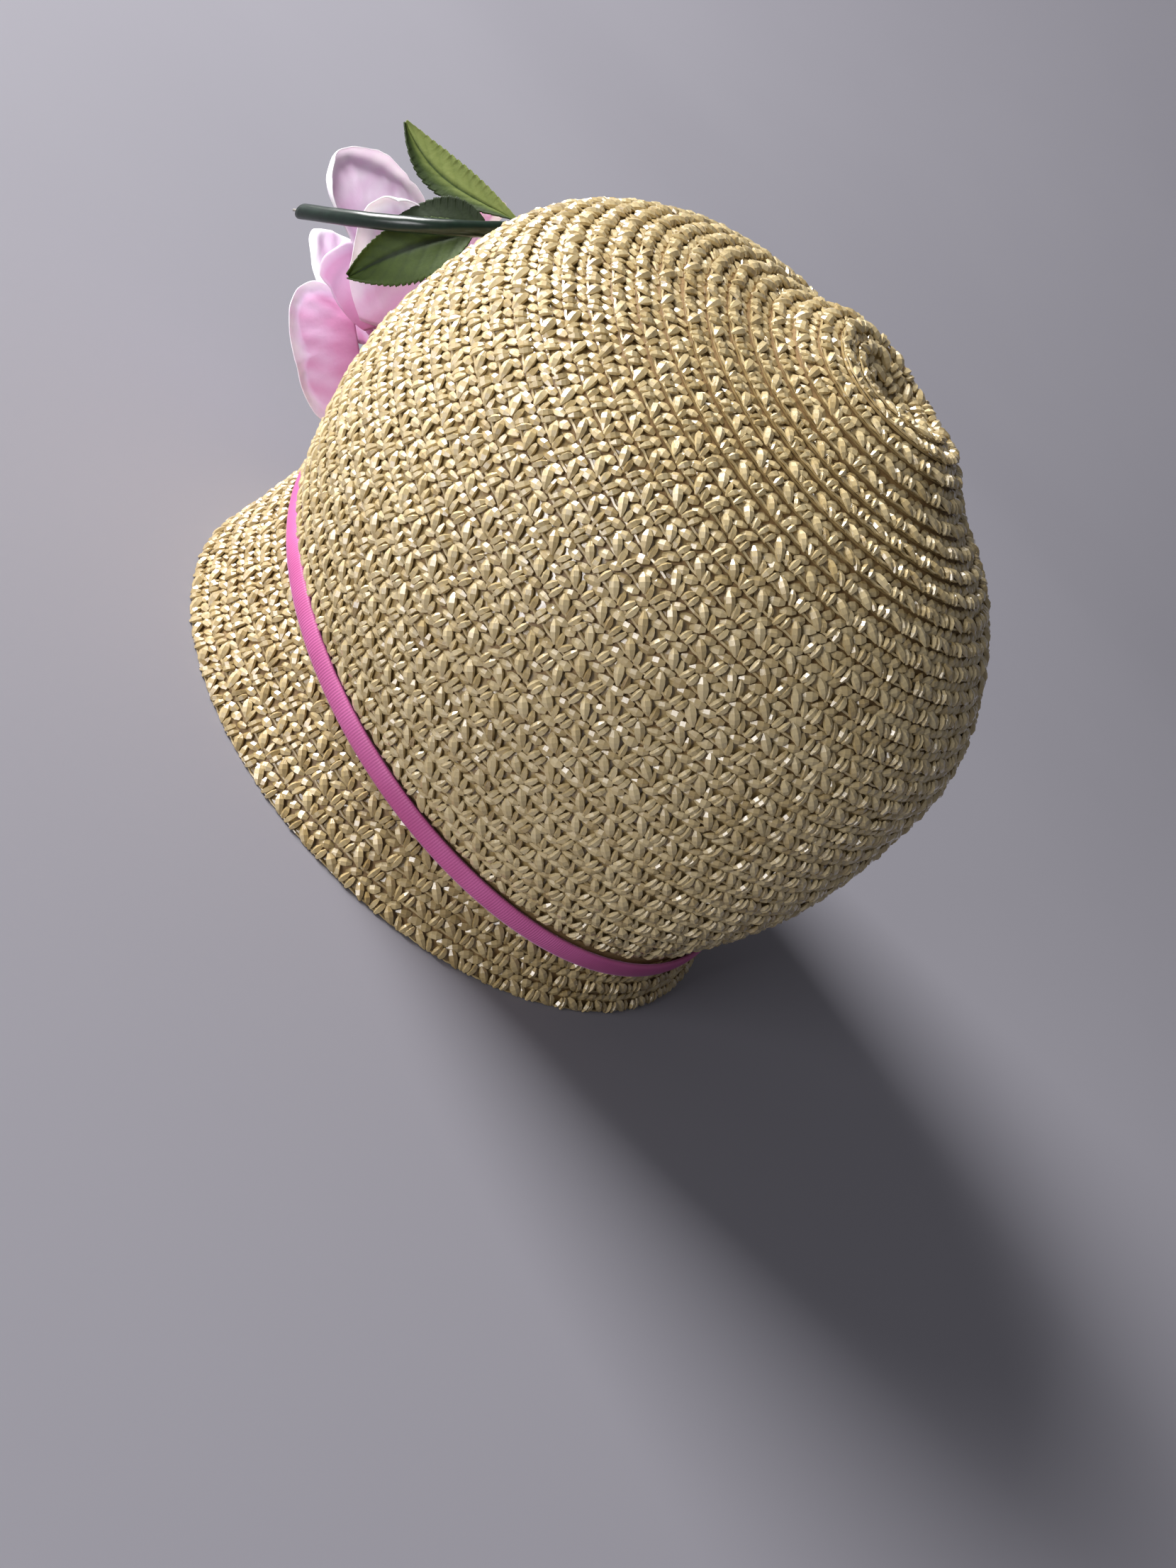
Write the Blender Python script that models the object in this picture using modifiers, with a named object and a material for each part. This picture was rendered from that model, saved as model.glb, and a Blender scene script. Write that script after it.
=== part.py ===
"""Straw cloche hat: a deep crown of braided straw, a steep turned-down brim, a narrow
ribbon round the join, and a cloth rose with stem and three leaves at the front.

Metres, +Z up. The hat stands on its brim edge at z = 0, its front towards -Y and the
wearer's left towards +X. The crown leans back on the brim by TILT.
"""

import math

import bmesh
import bpy
import numpy as np
from mathutils import Vector

MM = 0.001

# --- driving sizes (mm) -------------------------------------------------------------
HEAD_HALF_LENGTH = 100.7   # outside of the collar, front to back
HEAD_HALF_WIDTH = 87.2     # outside of the collar, side to side
STRAW = 2.8                # thickness of the sewn braid
TILT = math.radians(7.96)  # the crown leans back on the brim
COLLAR_RISE = 28.02        # height of the ribbon's lower edge over the hat's middle
COLLAR_SHIFT = 0.87        # the crown's middle behind the brim's middle
CROWN_EDGE = 7.6           # crown's lower edge, above the ribbon's lower edge
COLLAR_TOP = 7.2           # top of the collar that the crown stands over
CROWN_CENTRE = 76.0        # height of the point that the crown's radii start from
CROWN_OVAL = 0.0627        # how much longer the crown is than round
BRIM_FLARE = 9.2           # mean run of the brim from the collar out to its edge
BRIM_FLARE_FRONT = -2.8    # added at the front, taken off at the back
BRIM_FLARE_ENDS = -4.9     # added at front and back, taken off at the sides
RIBBON_THICK = 1.1
RIBBON_WIDTH = 7.4
RIBBON_ROUND = 0.7         # the ribbon's face is slightly rounded
GAP = 0.35                 # clear gap between pieces

AROUND = 56                # segments round the hat

# crown section: polar angle from the tip (deg), radius (mm)
CROWN_RADIUS = (
    (0.0, 72.5),
    (15.0, 79.6),
    (30.0, 77.2),
    (45.0, 83.4),
    (60.0, 91.2),
    (75.0, 98.2),
    (90.0, 101.4),
    (105.0, 107.2),
    (117.0, 112.2),
    (126.0, 117.0),
)
# how far the crown leans to the front, as a share of the radius: angle (deg), share
CROWN_LEAN = (
    (0.0, 0.0),
    (35.0, -0.0068),
    (65.0, 0.0312),
    (95.0, 0.0363),
    (126.0, 0.0141),
)

STRAW_COLOUR = (0.58, 0.45, 0.22, 1.0)
BRIM_COLOUR = (0.55, 0.42, 0.20, 1.0)
RIBBON_COLOUR = (0.62, 0.16, 0.42, 1.0)
PETAL_COLOUR = (0.80, 0.50, 0.68, 1.0)
LEAF_COLOUR = (0.10, 0.17, 0.045, 1.0)
STEM_COLOUR = (0.012, 0.045, 0.025, 1.0)


def clear_scene():
    for obj in list(bpy.data.objects):
        bpy.data.objects.remove(obj, do_unlink=True)


def material(name, colour, roughness, metallic=0.0):
    mat = bpy.data.materials.new(name)
    mat.use_nodes = True
    shader = mat.node_tree.nodes["Principled BSDF"]
    shader.inputs["Base Color"].default_value = colour
    shader.inputs["Roughness"].default_value = roughness
    shader.inputs["Metallic"].default_value = metallic
    mat.diffuse_color = colour
    return mat


def smooth_table(table, x):
    """Smooth curve through a table's rows, level at its first row."""
    xs = [row[0] for row in table]
    ys = [row[1] for row in table]
    slopes = [0.0]
    for i in range(1, len(xs) - 1):
        slopes.append((ys[i + 1] - ys[i - 1]) / (xs[i + 1] - xs[i - 1]))
    slopes.append((ys[-1] - ys[-2]) / (xs[-1] - xs[-2]))
    i = 0
    while i < len(xs) - 2 and x > xs[i + 1]:
        i += 1
    h = xs[i + 1] - xs[i]
    t = min(max((x - xs[i]) / h, 0.0), 1.2)
    a = (2 * t**3 - 3 * t**2 + 1) * ys[i] + (t**3 - 2 * t**2 + t) * h * slopes[i]
    b = (-2 * t**3 + 3 * t**2) * ys[i + 1] + (t**3 - t**2) * h * slopes[i + 1]
    return a + b


def to_floor(x, y, z):
    """Point of the leaning crown's own frame (mm) to the standing hat's frame (m)."""
    c, s = math.cos(TILT), math.sin(TILT)
    return Vector((x, y * c + z * s + COLLAR_SHIFT, -y * s + z * c + COLLAR_RISE)) * MM


def crown_polar(angle, turn):
    """Crown surface in its own frame (mm); turn 0 is the front, 90 deg the left."""
    radius = smooth_table(CROWN_RADIUS, angle)
    lean = smooth_table(CROWN_LEAN, angle)
    a = math.radians(angle)
    oval = CROWN_OVAL * math.sin(a)
    r = radius * (1 + lean * math.cos(turn) + oval * math.cos(2 * turn))
    return (
        r * math.sin(a) * math.sin(turn),
        -r * math.sin(a) * math.cos(turn),
        CROWN_CENTRE + r * math.cos(a),
    )


def crown_last_angle(turn):
    """Polar angle at which the crown reaches its level lower edge."""
    low, high = 105.0, 135.0
    for _ in range(30):
        mid = (low + high) / 2
        if crown_polar(mid, turn)[2] > CROWN_EDGE:
            low = mid
        else:
            high = mid
    return (low + high) / 2


def crown_point(v, turn):
    return crown_polar(v * crown_last_angle(turn), turn)


def collar_point(turn, out=0.0, up=0.0):
    """Point of the oval head line, moved outwards along its own normal."""
    x, y = HEAD_HALF_WIDTH * math.sin(turn), -HEAD_HALF_LENGTH * math.cos(turn)
    nx, ny = math.sin(turn) / HEAD_HALF_WIDTH, -math.cos(turn) / HEAD_HALF_LENGTH
    n = math.hypot(nx, ny)
    return (x + out * nx / n, y + out * ny / n, up)


def brim_flare(turn):
    return (
        BRIM_FLARE
        + BRIM_FLARE_FRONT * math.cos(turn)
        + BRIM_FLARE_ENDS * math.cos(2 * turn)
    )


def brim_point(t, turn, inset=0.0):
    """Brim face; t runs from the collar (0) down to the level edge (1)."""
    flare = brim_flare(turn)
    edge = collar_point(turn, flare - inset)
    c, s = math.cos(TILT), math.sin(TILT)
    bottom = (edge[1] * s - COLLAR_RISE) / c
    x, y, _ = collar_point(turn, flare * t**1.3 - inset)
    return (x, y, bottom * t)


def mesh_object(name, verts, faces, mat, collection):
    mesh = bpy.data.meshes.new(name)
    mesh.from_pydata([tuple(v) for v in verts], [], faces)
    mesh.update()
    obj = bpy.data.objects.new(name, mesh)
    collection.objects.link(obj)
    mesh.materials.append(mat)
    bm = bmesh.new()
    bm.from_mesh(mesh)
    bmesh.ops.recalc_face_normals(bm, faces=bm.faces)
    bm.to_mesh(mesh)
    bm.free()
    for poly in mesh.polygons:
        poly.use_smooth = True
    return obj


def grid_faces(rows, cols, start=0, wrap=True):
    faces = []
    for i in range(rows - 1):
        for j in range(cols if wrap else cols - 1):
            k = (j + 1) % cols
            a, b = start + i * cols, start + (i + 1) * cols
            faces.append((a + j, b + j, b + k, a + k))
    return faces


def thicken(obj, thickness, offset):
    mod = obj.modifiers.new("wall", "SOLIDIFY")
    mod.thickness = thickness
    mod.offset = offset
    mod.use_even_offset = True
    return mod


def turns():
    return [2 * math.pi * j / AROUND for j in range(AROUND)]


def build_crown(collection, mat):
    """Domed shell from the sunken tip down to the level edge over the ribbon."""
    shares = [0.05, 0.1, 0.15, 0.2, 0.26, 0.32, 0.39, 0.46, 0.53, 0.6, 0.67, 0.74, 0.8,
              0.86, 0.92, 0.965, 1.0]
    verts = [to_floor(*crown_point(0.0, 0.0))]
    for v in shares:
        verts += [to_floor(*crown_point(v, turn)) for turn in turns()]
    faces = [(0, 1 + j, 1 + (j + 1) % AROUND) for j in range(AROUND)]
    faces += grid_faces(len(shares), AROUND, start=1)
    obj = mesh_object("crown", verts, faces, mat, collection)
    thicken(obj, STRAW * MM, -1.0)
    return obj


def lofted_ring(name, section, mat, collection):
    """Closed ring from a section given as functions of the turn."""
    verts = []
    for face in section:
        verts += [to_floor(*face(turn)) for turn in turns()]
    n = len(section)
    faces = grid_faces(n, AROUND)
    last = (n - 1) * AROUND
    faces += [(last + j, j, (j + 1) % AROUND, last + (j + 1) % AROUND)
              for j in range(AROUND)]
    return mesh_object(name, verts, faces, mat, collection)


def build_brim(collection, mat):
    """Collar under the ribbon, and the flaring brim down to its level edge."""
    steps = [0.0, 0.2, 0.4, 0.6, 0.8, 1.0]
    outside = [lambda turn: collar_point(turn, 0.0, COLLAR_TOP - 0.5)]
    outside += [lambda turn, t=t: brim_point(t, turn) for t in steps]
    inside = [lambda turn, t=t: brim_point(t, turn, STRAW) for t in reversed(steps)]
    inside += [lambda turn: collar_point(turn, -STRAW, COLLAR_TOP - 0.5)]
    return lofted_ring("brim", outside + inside, mat, collection)


def build_ribbon(collection, mat):
    """Narrow ribbon lying round the collar, its face slightly rounded."""
    low, high = 0.0, RIBBON_WIDTH - 0.9
    inner, outer = GAP, GAP + RIBBON_THICK
    section = [lambda turn: collar_point(turn, inner, low + 0.2),
               lambda turn: collar_point(turn, outer, low)]
    for share in (0.25, 0.5, 0.75):
        bulge = outer + RIBBON_ROUND * math.sin(math.pi * share)
        section.append(lambda turn, b=bulge, s=share: collar_point(
            turn, b, low + s * (high - low)))
    section += [lambda turn: collar_point(turn, outer, high),
                lambda turn: collar_point(turn, inner, high - 0.2)]
    return lofted_ring("hat_band", section, mat, collection)


# --- rose ---------------------------------------------------------------------------
ROSE_BASE = Vector((22.0, -110.5, 65.5))     # mm, in front of the crown, a little to the left
ROSE_AXIS = Vector((0.0, -0.9, 0.436)).normalized()     # the way the bud faces
ROSE_UP = Vector((0.0, 0.436, 0.9)).normalized()
ROSE_SIDE = Vector((1.0, 0.0, 0.0))

# outer petals: name, foot, bend and tip of the middle line (mm), side that cups,
# half width (mm), cup (deg), share of the length at the widest place, roundness of the
# tip, foot width as a share of the half width
PETALS = (
    ("petal_outer_top", (22.6, -111.3, 73.1), (32.5, -122.5, 96.5), (3.5, -166, 96.5),
     (0.2, -0.45, -0.9), 30.0, 31.0, 0.50, 2.6, 0.14),
    ("petal_outer_left", (29.7, -112.0, 71.6), (42, -105, 100), (43, -125, 110),
     (-0.75, -0.35, -0.5), 16.0, 45.0, 0.42, 2.1, 0.35),
    ("petal_outer_front", (23.3, -117.3, 60.6), (19, -137, 58), (10, -172, 68),
     (0.3, 0.3, 0.9), 12.0, 40.0, 0.70, 2.4, 0.20),
    ("petal_outer_low", (26.2, -117.3, 60.4), (26.2, -118.4, 54.7), (37.3, -126.5, 43.7),
     (-0.75, -0.45, -0.3), 23.0, 20.0, 0.55, 2.4, 0.50),
    ("petal_outer_back", (18.0, -110.3, 75.0), (14, -121, 107), (15, -119, 125),
     (0.1, -0.9, 0.3), 15.0, 40.0, 0.66, 2.4, 0.14),
    ("petal_outer_right", (12.5, -114.1, 67.2), (2, -122, 70), (-18, -136, 78),
     (0.9, -0.5, 0.1), 20.0, 45.0, 0.66, 2.6, 0.14),
    ("petal_outer_right_low", (16.6, -117.5, 60.2), (8, -118, 50), (2, -136, 32),
     (0.5, -0.5, 0.8), 19.0, 40.0, 0.66, 2.6, 0.14),
)
# petals round the bud: name, turn (deg, 0 = up, 90 = wearer's left), half of what it takes
# up round the bud (deg), foot radius, rim radius, reach, curl of the rim (mm)
BUD_PETALS = (
    ("petal_inner_top", 40.0, 60.0, 3.2, 8.1, 38.0, 3.0),
    ("petal_inner_left", 130.0, 60.0, 3.2, 8.1, 37.0, 3.0),
    ("petal_inner_low", 220.0, 60.0, 3.2, 8.1, 37.0, 3.0),
    ("petal_inner_right", 310.0, 60.0, 3.2, 8.1, 38.0, 3.0),
    ("petal_middle_left", 85.2, 47.2, 6.3, 13.0, 32.0, 6.0),
    ("petal_middle_right", 249.5, 38.4, 6.3, 13.0, 32.0, 6.0),
)
BUD_SWIRL = 1.7            # each bud petal has one edge under and one edge over its neighbour
PETAL_THICK = 1.0
PETAL_ROWS, PETAL_COLUMNS = 7, 7
TIP_SPAN = 0.6             # rows past this share of the length turn round the tip


def petal_outline(along, half, widest, square, foot):
    """Half width of a petal at a share of its length."""
    if along < widest:
        return half * (foot + (1 - foot) * math.sin(math.pi / 2 * along / widest) ** 1.1)
    over = min((along - widest) / (1 - widest), 1.0)
    return half * max(1 - over**square, 0.0) ** (1 / square)


class PetalFrame:
    """Middle line of a petal from its foot over its bend to its tip."""

    def __init__(self, foot, bend, tip, cups, half, cup):
        self.foot, self.bend, self.tip = Vector(foot), Vector(bend), Vector(tip)
        self.side = (self.tip - self.foot).cross(Vector(cups)).normalized()
        self.radius = half / math.radians(cup)
        self.shares = [i / 60 for i in range(61)]
        self.arc = [0.0]
        points = [self.middle(q) for q in self.shares]
        for a, b in zip(points[:-1], points[1:]):
            self.arc.append(self.arc[-1] + (b - a).length)
        self.length = self.arc[-1]

    def middle(self, q):
        return ((1 - q) ** 2 * self.foot + 2 * q * (1 - q) * self.bend + q * q * self.tip)

    def direction(self, q):
        return ((1 - q) * (self.bend - self.foot) + q * (self.tip - self.bend)).normalized()

    def point(self, along, across):
        """Point along the middle line and across the cupped section (mm)."""
        q = float(np.interp(along, self.arc, self.shares))
        heading = self.direction(q)
        normal = self.side.cross(heading).normalized()
        turn = across / self.radius
        return (self.middle(q) + heading * max(along - self.length, 0.0)
                + self.side * (self.radius * math.sin(turn))
                + normal * (self.radius * (1 - math.cos(turn))))


def petal_mesh(name, points, tip_seam, mat, collection):
    """Grid of points; with a tip seam, both halves of the last row meet in one line."""
    rows, cols = PETAL_ROWS, PETAL_COLUMNS
    seen, verts, faces = {}, [], []

    def index(i, j):
        if tip_seam and i == rows - 1 and j < cols // 2:
            j = cols - 1 - j
        if (i, j) not in seen:
            seen[(i, j)] = len(verts)
            verts.append(points[i][j])
        return seen[(i, j)]

    for i in range(rows - 1):
        for j in range(cols - 1):
            faces.append((index(i, j), index(i + 1, j), index(i + 1, j + 1),
                          index(i, j + 1)))
    obj = mesh_object(name, verts, faces, mat, collection)
    thicken(obj, PETAL_THICK * MM, 0.0)
    return obj


def build_petal(row, collection, mat):
    name, foot, bend, tip, cups, half, cup, widest, square, narrow = row
    frame = PetalFrame(foot, bend, tip, cups, half, cup)
    points = []
    for i in range(PETAL_ROWS):
        along = 1 - (1 - i / (PETAL_ROWS - 1)) ** 1.6
        rim = petal_outline(along, half, widest, square, narrow)
        middle = min(along, TIP_SPAN) + max(along - TIP_SPAN, 0.0) * 0.15
        line = []
        for j in range(PETAL_COLUMNS):
            s = -1 + 2 * j / (PETAL_COLUMNS - 1)
            s = math.copysign(abs(s) ** 0.8, s)
            to_rim = (along - middle) * frame.length
            line.append(frame.point(middle * frame.length + abs(s) * to_rim, s * rim) * MM)
        points.append(line)
    return petal_mesh(name, points, True, mat, collection)


def rose_point(turn, radius, reach):
    out = ROSE_UP * math.cos(turn) + ROSE_SIDE * math.sin(turn)
    return (ROSE_BASE + ROSE_AXIS * reach + out * radius) * MM


def bud_point(row, t, w):
    """t from the foot (0) to the rim (1), w across from -1 to 1."""
    _, turn_deg, half_deg, foot, rim, rim_reach, curl = row
    width = math.sin(math.pi * min(0.15 + 0.62 * t, 0.77)) ** 0.8
    half = math.radians(half_deg) * width * (0.62 + 0.38 * t)
    radius = foot + (rim - foot) * math.sin(t * math.pi / 2) ** 0.7
    radius += curl * max(t - 0.75, 0) * 2.2
    radius += BUD_SWIRL * w * min(1.0, 0.35 + 1.3 * t)
    reach = 5.0 + (rim_reach - 5.0) * (0.25 * t + 0.75 * t**1.25)
    reach -= curl * 1.2 * max(t - 0.8, 0) + 6.0 * (abs(w) ** 3) * t**2
    return rose_point(math.radians(turn_deg) + w * half, radius, reach)


def build_bud_petal(row, collection, mat):
    points = [[bud_point(row, i / (PETAL_ROWS - 1), -1 + 2 * j / (PETAL_COLUMNS - 1))
               for j in range(PETAL_COLUMNS)] for i in range(PETAL_ROWS)]
    return petal_mesh(row[0], points, False, mat, collection)


def revolved(name, profile, mat, collection, steps=14):
    """Solid of revolution about the rose's axis, from (radius, reach) rows."""
    verts = []
    for radius, reach in profile[1:-1]:
        verts += [rose_point(2 * math.pi * j / steps, radius, reach) for j in range(steps)]
    verts.append(rose_point(0, 0, profile[0][1]))
    verts.append(rose_point(0, 0, profile[-1][1]))
    n = len(profile) - 2
    faces = grid_faces(n, steps)
    a, b = len(verts) - 2, len(verts) - 1
    last = (n - 1) * steps
    for j in range(steps):
        k = (j + 1) % steps
        faces.append((a, j, k))
        faces.append((b, last + k, last + j))
    return mesh_object(name, verts, faces, mat, collection)


def build_rose(collection, petal_mat, leaf_mat):
    for row in PETALS:
        build_petal(row, collection, petal_mat)
    for row in BUD_PETALS:
        build_bud_petal(row, collection, petal_mat)
    revolved("rose_heart",
             ((0, 3.6), (0.9, 4.2), (1.5, 9), (3.0, 18), (4.2, 27), (4.0, 33), (2.2, 35.4),
              (0, 36.0)),
             petal_mat, collection)
    revolved("rose_calyx",
             ((0, -8.6), (1.8, -8.2), (2.4, -4.5), (5.0, -2.2), (6.6, 0.4), (5.2, 1.7),
              (0, 2.0)),
             leaf_mat, collection)


# --- stem and leaves ----------------------------------------------------------------
STEM_RADIUS = 2.4
STEM_CUT = 1.3             # how far the cut end slants along the stem, from its middle
# middle line through cut end, bend and hidden end (mm)
STEM_LINE = ((58.0, -137.0, 87.0), (54.0, -103.0, 112.0), (30.0, -94.0, 126.0))
STEM_ROWS, STEM_SIDES = 9, 10

# leaves: name, base and tip (mm), half width, cup, bow, which way the blade faces, how far
# the middle sweeps sideways, place of the widest part (power of the share, over 1 = late)
LEAVES = (
    ("leaf_upper", (20, -101, 127), (40, -142, 124), 7.0, 1.2, -1.0, (0.72, 0.10, 0.69), 4.6, 1.2),
    ("leaf_middle", (29.5, -102, 121.4), (44.5, -118, 104.4), 8.0, 1.0, 1.0, (0.80, 0.20, 0.55), 0.0, 0.82),
    ("leaf_lower", (36.4, -98.3, 119.4), (51, -113.4, 84), 11.3, 1.5, 5.0, (0.80, 0.36, 0.49), 0.0, 0.82),
)
LEAF_THICK = 1.0
LEAF_TEETH = 7


def stem_point(q):
    a, m, b = (Vector(p) for p in STEM_LINE)
    c = 2 * m - 0.5 * (a + b)
    return (1 - q) ** 2 * a + 2 * q * (1 - q) * c + q * q * b


def build_stem(collection, mat):
    """Round stem along its bent middle line; the free end is cut at a slant."""
    verts = []
    for i in range(STEM_ROWS):
        q = i / (STEM_ROWS - 1)
        heading = (stem_point(min(q + 0.01, 1.0)) - stem_point(max(q - 0.01, 0.0))).normalized()
        side = heading.cross(Vector((0, 0, 1))).normalized()
        up = side.cross(heading)
        for j in range(STEM_SIDES):
            a = 2 * math.pi * j / STEM_SIDES
            p = stem_point(q) + STEM_RADIUS * (math.cos(a) * side + math.sin(a) * up)
            if i == 0:
                p -= heading * (STEM_CUT * math.sin(a))
            verts.append(p * MM)
    faces = grid_faces(STEM_ROWS, STEM_SIDES)
    faces.append(tuple(range(STEM_SIDES)))
    last = (STEM_ROWS - 1) * STEM_SIDES
    faces.append(tuple(last + j for j in range(STEM_SIDES)))
    return mesh_object("stem", verts, faces, mat, collection)


def build_leaf(row, collection, mat):
    name, base, tip, half, cup, bow, facing, sweep, peak = row
    base, tip, facing = Vector(base), Vector(tip), Vector(facing).normalized()
    along = tip - base
    length = along.length
    along.normalize()
    across = facing.cross(along).normalized()
    facing = along.cross(across).normalized()
    rows = 2 * LEAF_TEETH + 1
    verts = []
    for i in range(rows):
        t = i / (rows - 1)
        wide = half * math.sin(math.pi * (0.03 + 0.95 * t) ** peak) ** 0.9
        aside = sweep * math.sin(math.pi * t**1.3)
        tooth = 0.9 if i % 2 else 1.06
        for w in (-1, -0.5, 0, 0.5, 1):
            edge = tooth if abs(w) == 1 else 1.0
            p = base + along * (length * t) + across * (wide * w * edge + aside)
            p += facing * (cup * (w * w - 0.5) + bow * math.sin(math.pi * t))
            verts.append(p * MM)
    obj = mesh_object(name, verts, grid_faces(rows, 5, wrap=False), mat, collection)
    thicken(obj, LEAF_THICK * MM, 0.0)
    return obj


def main():
    clear_scene()
    hat = bpy.data.collections.new("cloche_hat")
    bpy.context.scene.collection.children.link(hat)
    straw = material("crown_straw", STRAW_COLOUR, 0.42)
    brim = material("brim_straw", BRIM_COLOUR, 0.42)
    ribbon = material("ribbon_grosgrain", RIBBON_COLOUR, 0.7)
    petal = material("petal_cloth", PETAL_COLOUR, 0.75)
    leaf = material("leaf_cloth", LEAF_COLOUR, 0.6)
    stem = material("stem_coating", STEM_COLOUR, 0.35)
    build_crown(hat, straw)
    build_brim(hat, brim)
    build_ribbon(hat, ribbon)
    build_rose(hat, petal, leaf)
    build_stem(hat, stem)
    for row in LEAVES:
        build_leaf(row, hat, leaf)


main()
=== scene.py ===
import math

import bpy
import numpy as np
from mathutils import Matrix, Vector


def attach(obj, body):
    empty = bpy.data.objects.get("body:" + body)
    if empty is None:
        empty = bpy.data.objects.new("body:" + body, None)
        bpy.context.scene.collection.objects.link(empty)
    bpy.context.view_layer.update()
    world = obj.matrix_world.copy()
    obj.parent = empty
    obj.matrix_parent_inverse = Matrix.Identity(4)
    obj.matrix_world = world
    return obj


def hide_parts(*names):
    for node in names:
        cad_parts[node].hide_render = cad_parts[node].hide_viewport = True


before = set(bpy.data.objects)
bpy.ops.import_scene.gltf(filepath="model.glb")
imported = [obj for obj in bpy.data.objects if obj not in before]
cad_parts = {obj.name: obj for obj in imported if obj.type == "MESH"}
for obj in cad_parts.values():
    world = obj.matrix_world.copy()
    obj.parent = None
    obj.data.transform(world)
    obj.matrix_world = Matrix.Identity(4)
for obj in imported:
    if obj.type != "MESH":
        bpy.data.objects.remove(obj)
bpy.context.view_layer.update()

MM = 0.001
RNG = np.random.default_rng(20)

# ------------------------------------------------------------------ hat's shape (mm)
HEAD_HALF_LENGTH = 100.7
HEAD_HALF_WIDTH = 87.2
STRAW = 2.8
TILT = math.radians(7.96)
COLLAR_RISE = 28.02
COLLAR_SHIFT = 0.87
CROWN_EDGE = 7.6
COLLAR_TOP = 7.2
CROWN_CENTRE = 76.0
CROWN_OVAL = 0.0627
BRIM_FLARE = 9.2
BRIM_FLARE_FRONT = -2.8
BRIM_FLARE_ENDS = -4.9
RIBBON_THICK = 1.1
RIBBON_WIDTH = 7.4
RIBBON_ROUND = 0.7
GAP = 0.35
CROWN_RADIUS = ((0.0, 72.5), (15.0, 79.6), (30.0, 77.2), (45.0, 83.4), (60.0, 91.2),
                (75.0, 98.2), (90.0, 101.4), (105.0, 107.2), (117.0, 112.2),
                (126.0, 117.0))
CROWN_LEAN = ((0.0, 0.0), (35.0, -0.0068), (65.0, 0.0312), (95.0, 0.0363),
              (126.0, 0.0141))
CROWN_ROWS = 33
BRIM_PITCH = 6.3
BRIM_EDGE = 0.50


def smooth_table(table, x):
    xs = np.array([row[0] for row in table])
    ys = np.array([row[1] for row in table])
    slopes = np.zeros(len(xs))
    slopes[1:-1] = (ys[2:] - ys[:-2]) / (xs[2:] - xs[:-2])
    slopes[-1] = (ys[-1] - ys[-2]) / (xs[-1] - xs[-2])
    x = np.asarray(x, float)
    i = np.clip(np.searchsorted(xs, x, side="right") - 1, 0, len(xs) - 2)
    h = xs[i + 1] - xs[i]
    t = np.clip((x - xs[i]) / h, 0.0, 1.2)
    a = (2 * t**3 - 3 * t**2 + 1) * ys[i] + (t**3 - 2 * t**2 + t) * h * slopes[i]
    b = (-2 * t**3 + 3 * t**2) * ys[i + 1] + (t**3 - t**2) * h * slopes[i + 1]
    return a + b


def to_floor(p):
    c, s = math.cos(TILT), math.sin(TILT)
    x, y, z = p[..., 0], p[..., 1], p[..., 2]
    return np.stack([x, y * c + z * s + COLLAR_SHIFT, -y * s + z * c + COLLAR_RISE], -1)


def crown_polar(angle, turn):
    angle, turn = np.broadcast_arrays(np.asarray(angle, float), np.asarray(turn, float))
    radius = smooth_table(CROWN_RADIUS, angle)
    lean = smooth_table(CROWN_LEAN, angle)
    a = np.radians(angle)
    oval = CROWN_OVAL * np.sin(a)
    r = radius * (1 + lean * np.cos(turn) + oval * np.cos(2 * turn))
    return np.stack([r * np.sin(a) * np.sin(turn), -r * np.sin(a) * np.cos(turn),
                     CROWN_CENTRE + r * np.cos(a)], -1)


def crown_last_angle(turn):
    turn = np.asarray(turn, float)
    low, high = np.full(turn.shape, 105.0), np.full(turn.shape, 135.0)
    for _ in range(30):
        mid = (low + high) / 2
        over = crown_polar(mid, turn)[..., 2] > CROWN_EDGE
        low, high = np.where(over, mid, low), np.where(over, high, mid)
    return (low + high) / 2


def collar(turn, out=0.0, up=0.0):
    turn = np.asarray(turn, float)
    x, y = HEAD_HALF_WIDTH * np.sin(turn), -HEAD_HALF_LENGTH * np.cos(turn)
    nx, ny = np.sin(turn) / HEAD_HALF_WIDTH, -np.cos(turn) / HEAD_HALF_LENGTH
    n = np.hypot(nx, ny)
    return np.stack(np.broadcast_arrays(x + out * nx / n, y + out * ny / n, up), -1)


def brim_flare(turn):
    return BRIM_FLARE + BRIM_FLARE_FRONT * np.cos(turn) + BRIM_FLARE_ENDS * np.cos(2 * turn)


def brim_at(t, turn, inset=0.0):
    t, turn = np.broadcast_arrays(np.asarray(t, float), np.asarray(turn, float))
    flare = brim_flare(turn)
    edge = collar(turn, flare - inset)
    c, s = math.cos(TILT), math.sin(TILT)
    bottom = (edge[..., 1] * s - COLLAR_RISE) / c
    p = collar(turn, flare * np.maximum(t, 0) ** 1.3 - inset)
    return to_floor(np.stack([p[..., 0], p[..., 1], bottom * t], -1))


# the share of the way down each meridian, by length, to the polar angle there
_TURNS = np.linspace(0, 2 * math.pi, 97)
_LAST = crown_last_angle(_TURNS)
_V = np.linspace(0, 1, 241)
_P = crown_polar(_V[:, None] * _LAST[None], _TURNS[None])
_L = np.vstack([np.zeros(97), np.cumsum(np.linalg.norm(np.diff(_P, axis=0), axis=-1), 0)])
_L /= _L[-1]


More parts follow.
